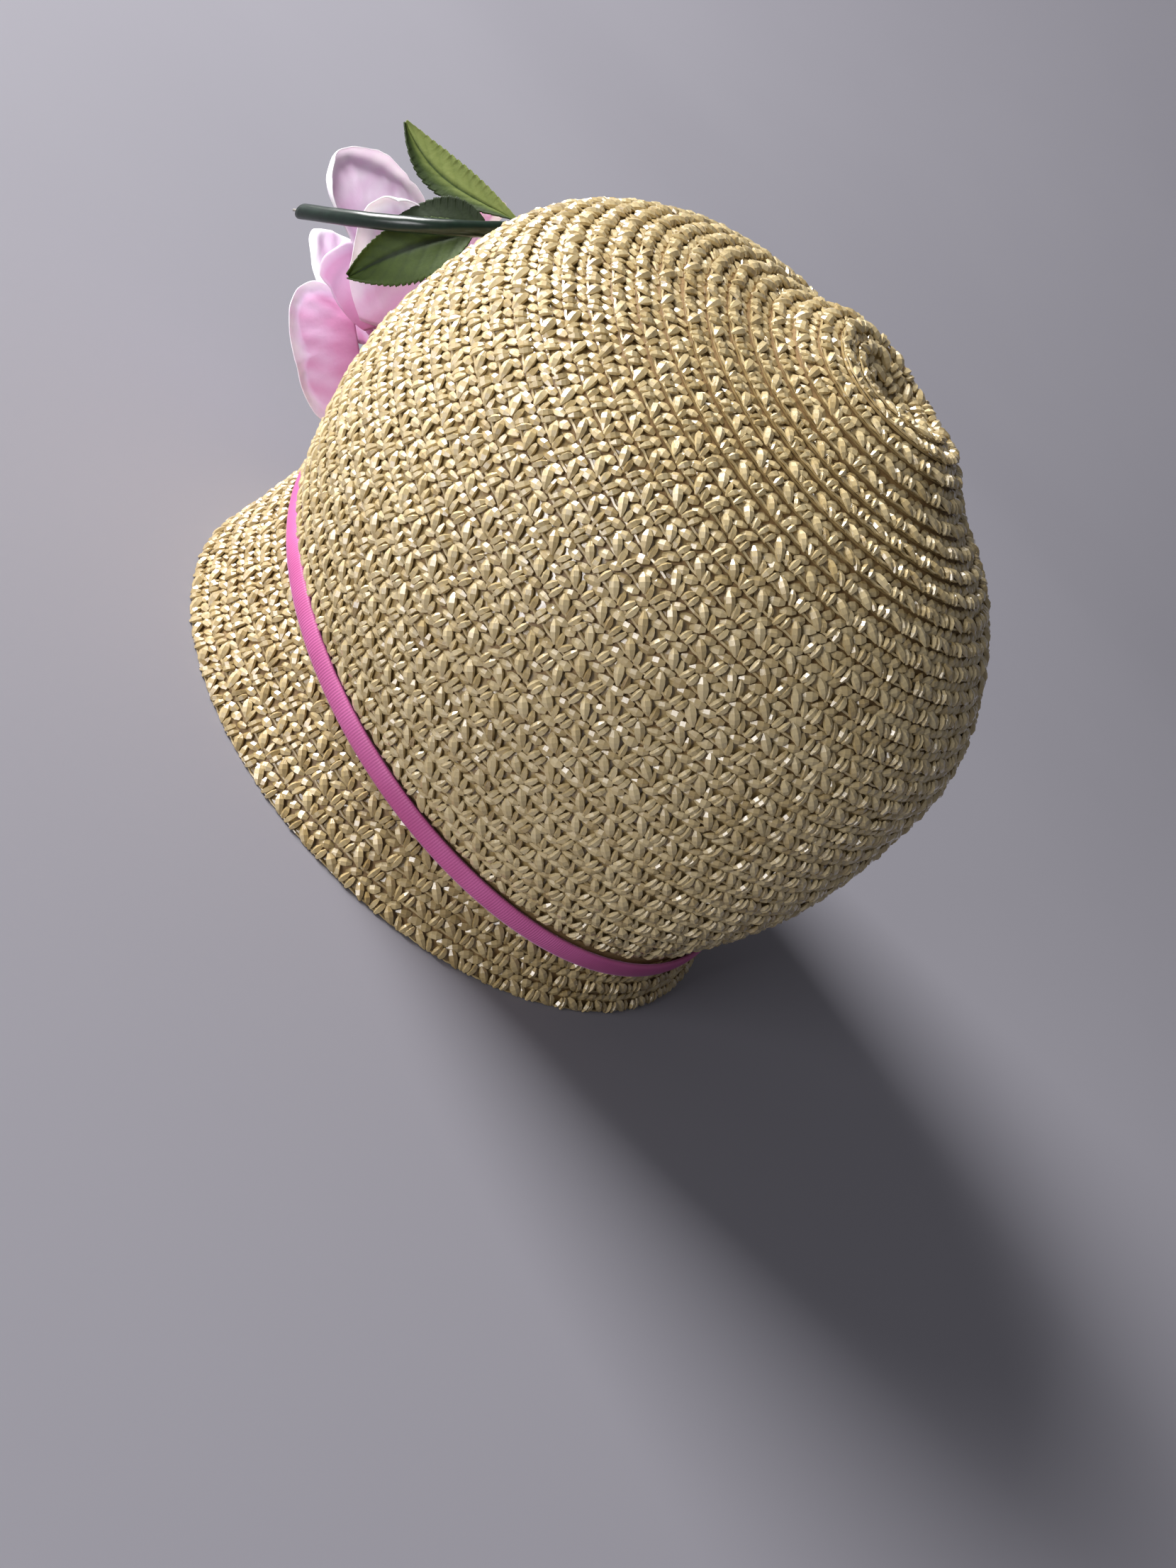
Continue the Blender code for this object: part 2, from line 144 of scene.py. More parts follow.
def crown_at(share, turn):
    """Crown surface (mm, standing hat) at a share of the meridian's length."""
    share, turn = np.broadcast_arrays(np.asarray(share, float), np.asarray(turn, float))
    share = np.clip(share, 0.0, 1.03)
    out = np.empty(share.shape)
    tt = np.mod(turn, 2 * math.pi) / (2 * math.pi) * 96
    j = np.clip(tt.astype(int), 0, 95)
    f = tt - j
    grid = np.linspace(0, 1, 400)
    inv = getattr(crown_at, "inv", None)
    if inv is None:
        inv = np.stack([np.interp(grid, _L[:, k], _V) for k in range(97)])
        crown_at.inv = inv
    g = np.clip(share, 0, 1) * 399
    i = np.clip(g.astype(int), 0, 398)
    h = g - i
    v = ((inv[j, i] * (1 - h) + inv[j, i + 1] * h) * (1 - f)
         + (inv[j + 1, i] * (1 - h) + inv[j + 1, i + 1] * h) * f)
    v = v + np.maximum(share - 1, 0) * 1.0
    last = np.interp(np.mod(turn, 2 * math.pi), _TURNS, _LAST)
    return to_floor(crown_polar(v * last, turn))


# ------------------------------------------------------------------------- materials
def new_material(name):
    mat = bpy.data.materials.new(name)
    mat.use_nodes = True
    nodes, links = mat.node_tree.nodes, mat.node_tree.links
    shader = nodes["Principled BSDF"]
    return mat, nodes, links, shader


def ramp(nodes, stops):
    node = nodes.new("ShaderNodeValToRGB")
    while len(node.color_ramp.elements) > 1:
        node.color_ramp.elements.remove(node.color_ramp.elements[-1])
    first = True
    for pos, colour in stops:
        if first:
            e = node.color_ramp.elements[0]
            e.position = pos
            first = False
        else:
            e = node.color_ramp.elements.new(pos)
        e.color = (*colour, 1.0)
    return node


def straw_material(name, light, mid, dark, rough):
    """Shiny split straw: each strand has its own tone and fine lengthwise streaks; the low tone of the strip under each
    row is painted shade.
    """
    mat, nodes, links, shader = new_material(name)
    tone = nodes.new("ShaderNodeAttribute")
    tone.attribute_name = "tone"
    grain = nodes.new("ShaderNodeAttribute")
    grain.attribute_name = "grain"
    stretch = nodes.new("ShaderNodeMapping")
    stretch.inputs["Scale"].default_value = (0.5, 5.0, 1.0)
    links.new(grain.outputs["Vector"], stretch.inputs["Vector"])
    streak = nodes.new("ShaderNodeTexNoise")
    streak.inputs["Scale"].default_value = 1.6
    streak.inputs["Detail"].default_value = 4.0
    links.new(stretch.outputs["Vector"], streak.inputs["Vector"])
    add = nodes.new("ShaderNodeMath")
    add.operation = "MULTIPLY_ADD"
    add.inputs[1].default_value = 0.55
    links.new(streak.outputs["Fac"], add.inputs[0])
    links.new(tone.outputs["Fac"], add.inputs[2])
    shift = nodes.new("ShaderNodeMath")
    shift.operation = "SUBTRACT"
    shift.inputs[1].default_value = 0.27
    links.new(add.outputs[0], shift.inputs[0])
    colours = ramp(nodes, [(0.0, dark), (0.35, mid), (0.75, light), (1.0, tuple(min(1, c * 1.12) for c in light))])
    links.new(shift.outputs[0], colours.inputs["Fac"])
    links.new(colours.outputs["Color"], shader.inputs["Base Color"])
    shader.inputs["Roughness"].default_value = rough
    shader.inputs["Specular IOR Level"].default_value = 0.8
    shader.inputs["Coat Weight"].default_value = 0.8
    shader.inputs["Coat Roughness"].default_value = 0.15
    bump = nodes.new("ShaderNodeBump")
    bump.inputs["Strength"].default_value = 0.35
    bump.inputs["Distance"].default_value = 0.0003
    links.new(streak.outputs["Fac"], bump.inputs["Height"])
    links.new(bump.outputs["Normal"], shader.inputs["Normal"])
    return mat


def plain_noise_material(name, light, dark, rough, scale, bump_strength=0.2, bump_dist=0.0003):
    mat, nodes, links, shader = new_material(name)
    coords = nodes.new("ShaderNodeTexCoord")
    noise = nodes.new("ShaderNodeTexNoise")
    noise.inputs["Scale"].default_value = scale
    noise.inputs["Detail"].default_value = 5.0
    links.new(coords.outputs["Object"], noise.inputs["Vector"])
    colours = ramp(nodes, [(0.3, dark), (0.7, light)])
    links.new(noise.outputs["Fac"], colours.inputs["Fac"])
    links.new(colours.outputs["Color"], shader.inputs["Base Color"])
    shader.inputs["Roughness"].default_value = rough
    bump = nodes.new("ShaderNodeBump")
    bump.inputs["Strength"].default_value = bump_strength
    bump.inputs["Distance"].default_value = bump_dist
    links.new(noise.outputs["Fac"], bump.inputs["Height"])
    links.new(bump.outputs["Normal"], shader.inputs["Normal"])
    return mat


STRAW_MAT = straw_material("straw_strands", (0.60, 0.485, 0.265), (0.45, 0.335, 0.15), (0.21, 0.13, 0.045), 0.22)
# the brim's straw is a darker copy of the crown's: painted shade of its steep, downward-facing side
BRIM_SHADED_MAT = straw_material("brim_strands_shaded", (0.50, 0.385, 0.19), (0.34, 0.24, 0.095), (0.16, 0.095, 0.03), 0.25)
# straw seen through the gaps between strands, darkened to brown as painted shade
GAP_SHADE_MAT = plain_noise_material("straw_under_painted_shade", (0.30, 0.19, 0.075), (0.19, 0.11, 0.04), 0.55, 700.0)
STEM_MAT = plain_noise_material("stem_coating", (0.006, 0.020, 0.011), (0.003, 0.011, 0.006), 0.34, 400.0)
WIRE_MAT = plain_noise_material("wire", (0.35, 0.33, 0.3), (0.2, 0.18, 0.16), 0.4, 500.0)


def ribbon_material():
    mat, nodes, links, shader = new_material("ribbon_grosgrain")
    coords = nodes.new("ShaderNodeTexCoord")
    noise = nodes.new("ShaderNodeTexNoise")
    noise.inputs["Scale"].default_value = 35.0
    noise.inputs["Detail"].default_value = 3.0
    links.new(coords.outputs["Object"], noise.inputs["Vector"])
    colours = ramp(nodes, [(0.35, (0.46, 0.085, 0.25)), (0.65, (0.56, 0.125, 0.33))])
    links.new(noise.outputs["Fac"], colours.inputs["Fac"])
    links.new(colours.outputs["Color"], shader.inputs["Base Color"])
    shader.inputs["Roughness"].default_value = 0.55
    shader.inputs["Sheen Weight"].default_value = 0.3
    shader.inputs["Sheen Roughness"].default_value = 0.35
    shader.inputs["Sheen Tint"].default_value = (0.95, 0.7, 1.0, 1.0)
    return mat


RIBBON_MAT = ribbon_material()


# ---------------------------------------------------------------------------- meshes
def make_object(name, verts, faces, mat, smooth=True):
    """faces is an (n, 3) or (n, 4) array or a list of them."""
    mesh = bpy.data.meshes.new(name)
    verts = np.asarray(verts, np.float64) * MM
    blocks = faces if isinstance(faces, list) else [faces]
    blocks = [np.asarray(b, np.int32) for b in blocks if len(b)]
    loops = np.concatenate([b.ravel() for b in blocks])
    sizes = np.concatenate([np.full(len(b), b.shape[1], np.int32) for b in blocks])
    starts = np.concatenate([[0], np.cumsum(sizes)[:-1]]).astype(np.int32)
    mesh.vertices.add(len(verts))
    mesh.vertices.foreach_set("co", verts.ravel())
    mesh.loops.add(len(loops))
    mesh.loops.foreach_set("vertex_index", loops)
    mesh.polygons.add(len(sizes))
    mesh.polygons.foreach_set("loop_start", starts)
    mesh.polygons.foreach_set("use_smooth", np.full(len(sizes), smooth))
    mesh.update(calc_edges=True)
    mesh.validate()
    mesh.materials.append(mat)
    obj = bpy.data.objects.new(name, mesh)
    bpy.context.scene.collection.objects.link(obj)
    return obj


def grid_quads(rows, cols, start=0, wrap=True):
    i = np.arange(rows - 1)[:, None]
    j = np.arange(cols if wrap else cols - 1)[None]
    k = (j + 1) % cols
    a, b = start + i * cols, start + (i + 1) * cols
    return np.stack([a + j, b + j, b + k, a + k], -1).reshape(-1, 4)


# a strand: a flat pod, pointed at both ends, along +x, one unit half long
def strand_template(around, stations, blunt):
    xs = np.linspace(-1, 1, stations)
    prof = np.clip(1 - np.abs(xs) ** 2.2, 0, 1) ** 0.6
    prof[0] = prof[-1] = blunt
    ang = np.arange(around) / around * 2 * math.pi + math.pi / around
    c, s = np.cos(ang), np.sin(ang)
    # a pillow section: flat on the back, rounded on the face
    cy = np.sign(c) * np.abs(c) ** 0.7
    cz = np.where(s > 0, s, 0.6 * s)
    verts = np.stack([np.repeat(xs, around), np.outer(prof, cy).ravel(),
                      np.outer(prof, cz).ravel()], -1)
    quads = grid_quads(stations, around)[:, ::-1]
    cap0 = np.array([[0, k, k + 1] for k in range(1, around - 1)])
    last = (stations - 1) * around
    cap1 = np.array([[last, last + k + 1, last + k] for k in range(1, around - 1)])
    return verts, quads, np.vstack([cap0, cap1])


LARGE = strand_template(6, 5, 0.30)
MIDDLE = strand_template(6, 4, 0.42)
SMALL = strand_template(5, 4, 0.45)


def strands(template, centre, along, across, normal, length, width, thick, arch, taper,
            tone):
    """Vertices, quads, triangles and per-vertex values of many placed strands."""
    tv, tq, tc = template
    n, m = len(centre), len(tv)
    v = tv[None]
    fat = 1 + taper[:, None] * v[..., 0]
    x = v[..., 0] * length[:, None]
    y = v[..., 1] * width[:, None] * fat
    z = v[..., 2] * thick[:, None] * fat + arch[:, None] * (1 - v[..., 0] ** 2)
    p = (centre[:, None] + along[:, None] * x[..., None] + across[:, None] * y[..., None]
         + normal[:, None] * z[..., None])
    base = (np.arange(n) * m)[:, None, None]
    seed = RNG.uniform(0, 50, (n, 1))
    grain = np.stack([x + seed, y + seed * 2, np.broadcast_to(seed, x.shape)], -1)
    return (p.reshape(-1, 3), (tq[None] + base).reshape(-1, 4), (tc[None] + base).reshape(-1, 3),
            np.repeat(tone, m), grain.reshape(-1, 3))


def join_strands(name, blocks, mat):
    verts, quads, tris, tones, grains, at = [], [], [], [], [], 0
    for p, q, c, t, g in blocks:
        verts.append(p)
        quads.append(q + at)
        if len(c):
            tris.append(c + at)
        tones.append(t)
        grains.append(g)
        at += len(p)
    faces = [np.concatenate(quads)] + ([np.concatenate(tris)] if tris else [])
    verts = np.concatenate(verts)
    # the lowest strands lie pressed flat on what the hat stands on
    low = verts[:, 2] < 0.6
    verts[low, 2] = 0.05 + 0.55 * np.exp((verts[low, 2] - 0.6) / 0.55)
    obj = make_object(name, verts, faces, mat, smooth=False)
    mesh = obj.data
    t = mesh.attributes.new("tone", "FLOAT", "POINT")
    t.data.foreach_set("value", np.concatenate(tones).astype(np.float32))
    g = mesh.attributes.new("grain", "FLOAT_VECTOR", "POINT")
    g.data.foreach_set("vector", np.concatenate(grains).reshape(-1).astype(np.float32))
    return obj


def unit(a):
    return a / np.maximum(np.linalg.norm(a, axis=-1, keepdims=True), 1e-9)


def frame_on(surface, row, turn, d_row, d_turn=0.01):
    """Point, along-row direction, down-row direction and outward normal."""
    p = surface(row, turn)
    along = unit(surface(row, turn + d_turn) - surface(row, turn - d_turn))
    down = surface(row + d_row, turn) - surface(row - d_row, turn)
    down = unit(down - along * np.sum(down * along, -1, keepdims=True))
    normal = unit(np.cross(down, along))
    return p, along, down, normal


# one repeat of the braid, in mm. along: place in the repeat. across: place in the row,
# positive towards the band or the brim's edge. yaw: turn of the strand on the surface.
# half: half length, half width, half thickness. lift: height above the row's own level.
REPEAT_LENGTH = 10.8
SINK = 0.75
REPEAT = (
    # template, along, across, yaw, half length, width, thickness, lift, tone, taper
    (SMALL, 0.0, 1.5, 102.0, 1.85, 0.98, 1.05, 0.45, 0.66, 0.0),
    (SMALL, 1.9, 1.5, 98.0, 1.85, 0.98, 1.05, 0.55, 0.68, 0.0),
    (MIDDLE, 3.9, 1.0, 62.0, 1.9, 1.7, 0.5, -0.4, 0.20, 0.0),
    (LARGE, 5.6, 1.4, 42.0, 2.9, 1.4, 1.15, 0.3, 0.60, -0.2),
    (SMALL, 8.5, 1.6, 62.0, 1.9, 1.0, 0.9, 0.15, 0.50, 0.0),
    (MIDDLE, 0.9, -1.4, -28.0, 2.2, 1.3, 0.8, -0.15, 0.55, 0.15),
    (MIDDLE, 4.5, -1.4, -28.0, 2.2, 1.3, 0.8, -0.15, 0.55, 0.15),
    (MIDDLE, 8.1, -1.4, -28.0, 2.2, 1.3, 0.8, -0.15, 0.55, 0.15),
)


def row_shift(tau, where, width, start, full):
    """Rows of a spiral: a steady climb near the start, later one short step each turn."""
    k = np.floor(tau)
    f = tau - k
    s = np.clip((f - where) / width, 0, 1)
    step = s * s * (3 - 2 * s)
    w = np.clip((tau - start) / (full - start), 0, 1)
    return k + (1 - w) * f + w * step


def braid(name, surface, path, pitch_at, mat, ramp_at, keep, edge_thick=0.42):
    """Strands along a path of (row, turn), in two columns, with a strand on the edge."""
    row, turn = path
    pts = surface(row, turn)
    length = np.concatenate([[0], np.cumsum(np.linalg.norm(np.diff(pts, axis=0), axis=-1))])
    count = int(length[-1] / REPEAT_LENGTH)
    starts = np.arange(count) * REPEAT_LENGTH + RNG.uniform(-0.4, 0.4, count)
    blocks = []

    def place(s, b, yaw, lift):
        r = np.interp(s, length, row)
        th = np.interp(s, length, turn)
        scale = pitch_at(r, th) / 6.2
        b = b * scale
        p, along, down, normal = frame_on(surface, r, th, 0.2)
        rise = ramp_at(r, th)
        centre = p + down * b[:, None] + normal * (lift - SINK + rise * b)[:, None]
        down_r = unit(down + normal * rise[:, None])
        normal_r = unit(normal - down * rise[:, None])
        c, sn = np.cos(yaw)[:, None], np.sin(yaw)[:, None]
        ax = along * c + down_r * sn
        ay = unit(np.cross(normal_r, ax))
        return r, th, b, scale, centre, ax, ay, normal_r

    for template, a, b, yaw, hl, hw, ht, lift, tone, taper in REPEAT:
        s = starts + a + RNG.uniform(-0.25, 0.25, count)
        yw = np.radians(yaw + RNG.normal(0, 5, count))
        bb = b + RNG.uniform(-0.14, 0.14, count)
        lf = lift + RNG.uniform(-0.12, 0.16, count)
        r, th, b_real, scale, centre, ax, ay, nn = place(s, bb, yw, lf)
        fit = np.clip(scale, 0.62, 1.08)
        # each strand dips at one end, where the next one crosses it
        pitch = np.radians(RNG.normal(0, 6, count) + (9 if b < 0 else 0))
        roll = np.radians(RNG.normal(0, 9, count))
        ax2 = unit(ax * np.cos(pitch)[:, None] + nn * np.sin(pitch)[:, None])
        nn2 = unit(np.cross(ax2, ay))
        ay2 = unit(ay * np.cos(roll)[:, None] + nn2 * np.sin(roll)[:, None])
        nn3 = unit(np.cross(ax2, ay2))
        ok = keep(r, th, b_real)
        tn = np.clip(RNG.normal(tone, 0.13, count), 0.03, 0.98)
        blocks.append(strands(
            template, centre[ok], ax2[ok], ay2[ok], nn3[ok],
            (hl * RNG.uniform(0.9, 1.12, count) * fit)[ok],
            (hw * RNG.uniform(0.88, 1.12, count) * fit)[ok],
            (ht * RNG.uniform(0.85, 1.15, count))[ok],
            RNG.uniform(0.15, 0.45, count)[ok],
            (taper + RNG.uniform(-0.12, 0.12, count))[ok], tn[ok]))

    # the long strand on the row's edge
    s = np.arange(0, length[-1], 2.1)
    wave = 0.18 * np.sin(s * 2 * math.pi / 3.6)
    r, th, b_real, scale, centre, ax, ay, nn = place(
        s, 2.75 + wave, np.zeros(len(s)), 0.15 + 0.15 * np.cos(s * 2 * math.pi / 3.6))
    ok = keep(r, th, b_real)
    ring = []
    for y, z in ((1.0, 0.0), (0.3, 0.8), (-0.9, 0.35), (-0.3, -0.8)):
        ring.append(centre + ay * (y * edge_thick) + nn * (z * edge_thick))
    ring = np.stack(ring, 1)
    n = len(s)
    i = np.nonzero(ok[:-1] & ok[1:])[0][:, None]
    j = np.arange(4)[None]
    k = (j + 1) % 4
    quads = np.stack([i * 4 + j, (i + 1) * 4 + j, (i + 1) * 4 + k, i * 4 + k], -1).reshape(-1, 4)
    tone = np.repeat(0.5 + 0.2 * np.sin(s * 0.37) * np.sin(s * 0.113), 4)
    base = []
    for b, lift in ((-3.1, -0.62), (2.9, -0.42), (2.8, -1.2), (-3.1, -1.4)):
        base.append(place(s, np.full(len(s), b), np.zeros(len(s)), np.full(len(s), lift))[4])
    base = np.stack(base, 1)
    grain = np.stack([np.repeat(s, 4), np.tile([0.0, 0.4, 0.8, 1.2], n), np.zeros(4 * n)], -1)
    blocks.append((ring.reshape(-1, 3), quads, np.zeros((0, 3), int), tone, grain))
    # the strip under the row, seen through the gaps between strands, gets a low tone: painted shade
    gap_shade_tone = np.repeat(0.22 + 0.08 * np.sin(s * 0.9), 4)
    blocks.append((base.reshape(-1, 3), quads, np.zeros((0, 3), int), gap_shade_tone, grain))
    return join_strands(name, blocks, mat)


def crown_surface(row, turn):
    return crown_at(row / CROWN_ROWS, turn)


def crown_path(first, last):
    tau = np.arange(first, last, 1 / 300)
    low = np.clip((tau - 16.0) / 9.0, 0, 1)
    row = row_shift(tau, 0.86, 0.12, 16.0, 25.0) + 0.5 * low
    return np.minimum(row, CROWN_ROWS - 0.5), 2 * math.pi * tau


def crown_pitch(row, turn):
    a = crown_surface(row + 0.5, turn)
    b = crown_surface(row - 0.5, turn)
    return np.linalg.norm(a - b, axis=-1)


def crown_ramp(row, turn):
    """How steeply each row is tipped: shingled near the tip, flat near the band."""
    reach = 15.0 + 3.0 * np.cos(turn)
    w = np.clip((row - reach + 3) / 6, 0, 1)
    w = w * w * (3 - 2 * w)
    near = np.clip(row / 3, 0.5, 1)
    return (0.30 * (1 - w) + 0.07 * w) * near


crown_parts = []
for part_name, first, last in (("crown_braid_tip", 0.45, 14.52), ("crown_braid_upper", 14.5, 20.52),
                               ("crown_braid_middle", 20.5, 26.52),
                               ("crown_braid_low", 26.5, CROWN_ROWS - 0.005)):
    crown_parts.append(braid(part_name, crown_surface, crown_path(first, last), crown_pitch,
                             STRAW_MAT, crown_ramp,
                             lambda r, t, b: r + b / 6.2 < CROWN_ROWS + 0.2))


# brim: rows counted up from the edge
def brim_depth(turn):
    top, low = brim_at(0.0, turn), brim_at(1.0, turn)
    return np.linalg.norm(top - low, axis=-1)


def brim_surface(row, turn):
    """Rows grow towards the edge, as on the crown; the edge row is number 0."""
    t = 1 + row * BRIM_PITCH / brim_depth(turn)
    return brim_at(t, turn)


def brim_path(first, last):
    tau = np.arange(first, last, 1 / 300)
    row = np.maximum(row_shift(tau, 0.42, 0.14, -3.0, -2.0), 0.0) + BRIM_EDGE
    return -row[::-1], -2 * math.pi * tau[::-1] + math.pi


brim_a = braid("brim_braid", brim_surface, brim_path(-0.575, 7.36),
               lambda r, t: np.full(np.shape(r), BRIM_PITCH), BRIM_SHADED_MAT,
               lambda r, t: np.full(np.shape(r), 0.06),
               lambda r, t, b: (-r - b / BRIM_PITCH) * BRIM_PITCH < brim_depth(t) + 2.5)


# --------------------------------------------------------- walls behind the strands, dark brown as painted shade in the gaps
def wall(name, outer, inner, mat):
    rows, cols = outer.shape[:2]
    verts = np.concatenate([outer.reshape(-1, 3), inner.reshape(-1, 3)])
    n = rows * cols
    a = grid_quads(rows, cols)
    b = grid_quads(rows, cols, n)[:, ::-1]
    j = np.arange(cols)
    k = (j + 1) % cols
    last = (rows - 1) * cols
    end1 = np.stack([last + j, n + last + j, n + last + k, last + k], -1)
    end0 = np.stack([j, k, n + k, n + j], -1)
    return make_object(name, verts, [a, b, end1, end0], mat)


turns = np.linspace(0, 2 * math.pi, 121)[:-1]
share = np.linspace(0.004, 1.0, 70)
outer = crown_at(share[:, None], turns[None])
_, al, dn, nm = frame_on(crown_at, np.broadcast_to(share[:, None], (70, 120)),
                         np.broadcast_to(turns[None], (70, 120)), 0.003)
crown_wall = wall("crown_wall", outer - nm * 1.3, outer - nm * 2.3, GAP_SHADE_MAT)
tt = np.linspace(0.0, 1.0, 14)
up = to_floor(collar(turns, 0.0, COLLAR_TOP - 0.5))[None]
outer = np.concatenate([up, brim_at(tt[:, None], turns[None])])
up = to_floor(collar(turns, -2.2, COLLAR_TOP - 0.5))[None]
inner = np.concatenate([up, brim_at(tt[:, None], turns[None], 2.2)])
mid = outer * 0.45 + inner * 0.55
brim_wall = wall("brim_wall", mid, inner, GAP_SHADE_MAT)


# --------------------------------------------------------------------------- ribbon
def ribbon():
    ribs = 760
    around = ribs * 3
    turn = np.linspace(0, 2 * math.pi, around + 1)[:-1]
    lift = 0.12 * np.cos(np.arange(around) * 2 * math.pi / 3)
    low, high = 0.0, RIBBON_WIDTH - 0.9
    rings = [collar(turn, GAP, low + 0.2)]
    for s in np.linspace(0, 1, 9):
        out = GAP + RIBBON_THICK + RIBBON_ROUND * math.sin(math.pi * s) ** 0.7
        rings.append(collar(turn, out + lift * (0.4 if s in (0, 1) else 1), low + s * (high - low)))
    rings.append(collar(turn, GAP, high - 0.2))
    g = to_floor(np.stack(rings))
    n = len(rings)
    last = (n - 1) * around
    j = np.arange(around)
    k = (j + 1) % around
    close = np.stack([last + j, j, k, last + k], -1)
    return make_object("ribbon", g.reshape(-1, 3), [grid_quads(n, around), close], RIBBON_MAT)


band = ribbon()

for piece in (*crown_parts, crown_wall, brim_a, brim_wall, band):
    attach(piece, "root")
for piece in (crown_wall, *crown_parts):
    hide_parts("crown")
for piece in (brim_wall, brim_a):
    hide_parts("brim")
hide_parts("hat_band")

# ----------------------------------------------------------------------------- rose
ROSE_BASE = np.array((22.0, -110.5, 65.5))
ROSE_AXIS = unit(np.array((0.0, -0.9, 0.436)))
ROSE_UP = unit(np.array((0.0, 0.436, 0.9)))
ROSE_SIDE = np.array((1.0, 0.0, 0.0))
CLOTH = 0.34

# node, foot, bend, tip, cups towards, half width, cup (deg), widest share, squareness,
# foot share, roll of the rim at its left, tip and right (deg), roll width, wave, shade
PETALS = (
    ("petal_outer_top", (22.6, -111.3, 73.1), (32.5, -122.5, 96.5), (3.5, -164, 96.5),
     (0.2, -0.45, -0.9), 35.0, 29.0, 0.50, 2.3, 0.14, (25, 45, 185), 5.2, 0.4, 0.36),
    ("petal_outer_left", (29.7, -112.0, 71.6), (42, -105, 100), (43, -125, 110),
     (-0.75, -0.35, -0.5), 16.0, 45.0, 0.42, 2.1, 0.35, (60, 140, 90), 4.2, 0.3, 0.34),
    ("petal_outer_front", (23.3, -117.3, 60.6), (19, -137, 58), (10, -172, 68),
     (0.3, 0.3, 0.9), 12.0, 40.0, 0.70, 2.4, 0.20, (60, 130, 210), 3.6, 0.3, 0.42),
    # the low petal's shade of 0.62 is partly its own deeper pink and partly painted shade of its place low under the
    # rose
    ("petal_outer_low", (26.2, -117.3, 60.4), (26.2, -118.4, 54.7), (37.3, -126.5, 43.7),
     (-0.75, -0.45, -0.3), 23.5, 20.0, 0.55, 2.4, 0.50, (40, 45, 70), 4.5, 0.6, 0.62),
    ("petal_outer_back", (18.0, -110.3, 75.0), (14, -121, 107), (15, -119, 125),
     (0.1, -0.9, 0.3), 15.0, 40.0, 0.66, 2.4, 0.14, (50, 60, 50), 4.0, 0.5, 0.45),
    ("petal_outer_right", (12.5, -114.1, 67.2), (2, -122, 70), (-18, -136, 78),
     (0.9, -0.5, 0.1), 20.0, 45.0, 0.66, 2.6, 0.14, (70, 60, 60), 4.0, 0.5, 0.48),
    ("petal_outer_right_low", (16.6, -117.5, 60.2), (8, -118, 50), (2, -136, 32),
     (0.5, -0.5, 0.8), 19.0, 40.0, 0.66, 2.6, 0.14, (60, 60, 70), 4.0, 0.5, 0.55),
)
# node, turn round the rose (deg), half width (deg), foot radius, rim radius, reach, curl
BUD_PETALS = (
    ("petal_inner_top", 40.0, 60.0, 3.2, 8.1, 38.0, 3.0),
    ("petal_inner_left", 130.0, 60.0, 3.2, 8.1, 37.0, 3.0),
    ("petal_inner_low", 220.0, 60.0, 3.2, 8.1, 37.0, 3.0),
    ("petal_inner_right", 310.0, 60.0, 3.2, 8.1, 38.0, 3.0),
    ("petal_middle_left", 85.2, 47.2, 6.3, 13.0, 32.0, 6.0),
    ("petal_middle_right", 249.5, 38.4, 6.3, 13.0, 32.0, 6.0),
)


def cloth_material(name, stops, rough, sheen, scale, through):
    """Thin cloth coloured by a per-point "shade" value, partly its own pink or green and partly painted shade, with a
    faint uneven dye.
    """
    mat, nodes, links, shader = new_material(name)
    shade = nodes.new("ShaderNodeAttribute")
    shade.attribute_name = "shade"
    coords = nodes.new("ShaderNodeTexCoord")
    noise = nodes.new("ShaderNodeTexNoise")
    noise.inputs["Scale"].default_value = scale
    noise.inputs["Detail"].default_value = 4.0
    links.new(coords.outputs["Object"], noise.inputs["Vector"])
    add = nodes.new("ShaderNodeMath")
    add.operation = "MULTIPLY_ADD"
    add.inputs[1].default_value = 0.16
    links.new(noise.outputs["Fac"], add.inputs[0])
    links.new(shade.outputs["Fac"], add.inputs[2])
    low = nodes.new("ShaderNodeMath")
    low.operation = "SUBTRACT"
    low.inputs[1].default_value = 0.08
    links.new(add.outputs[0], low.inputs[0])
    colours = ramp(nodes, stops)
    links.new(low.outputs[0], colours.inputs["Fac"])
    links.new(colours.outputs["Color"], shader.inputs["Base Color"])
    shader.inputs["Roughness"].default_value = rough
    shader.inputs["Sheen Weight"].default_value = sheen
    shader.inputs["Subsurface Weight"].default_value = through
    shader.inputs["Subsurface Radius"].default_value = (1.0, 0.75, 0.9)
    shader.inputs["Subsurface Scale"].default_value = 0.002
    shader.inputs["Sheen Roughness"].default_value = 0.4
    weave = nodes.new("ShaderNodeTexNoise")
    weave.inputs["Scale"].default_value = 900.0
    weave.inputs["Detail"].default_value = 3.0
    links.new(coords.outputs["Object"], weave.inputs["Vector"])
    bump = nodes.new("ShaderNodeBump")
    bump.inputs["Strength"].default_value = 0.25
    bump.inputs["Distance"].default_value = 0.0003
    links.new(weave.outputs["Fac"], bump.inputs["Height"])
    links.new(bump.outputs["Normal"], shader.inputs["Normal"])
    return mat


PETAL_MAT = cloth_material("petal_cloth", [
    (0.0, (0.90, 0.87, 0.91)), (0.28, (0.75, 0.61, 0.76)), (0.5, (0.64, 0.42, 0.61)),
    (0.75, (0.52, 0.21, 0.38)), (1.0, (0.36, 0.09, 0.22))], 0.6, 0.2, 90.0, 0.55)
LEAF_MAT = cloth_material("leaf_cloth", [
    (0.0, (0.008, 0.014, 0.005)), (0.3, (0.018, 0.032, 0.008)), (0.5, (0.046, 0.075, 0.010)),
    (0.75, (0.18, 0.225, 0.055)), (1.0, (0.32, 0.34, 0.12))], 0.62, 0.0, 420.0, 0.0)


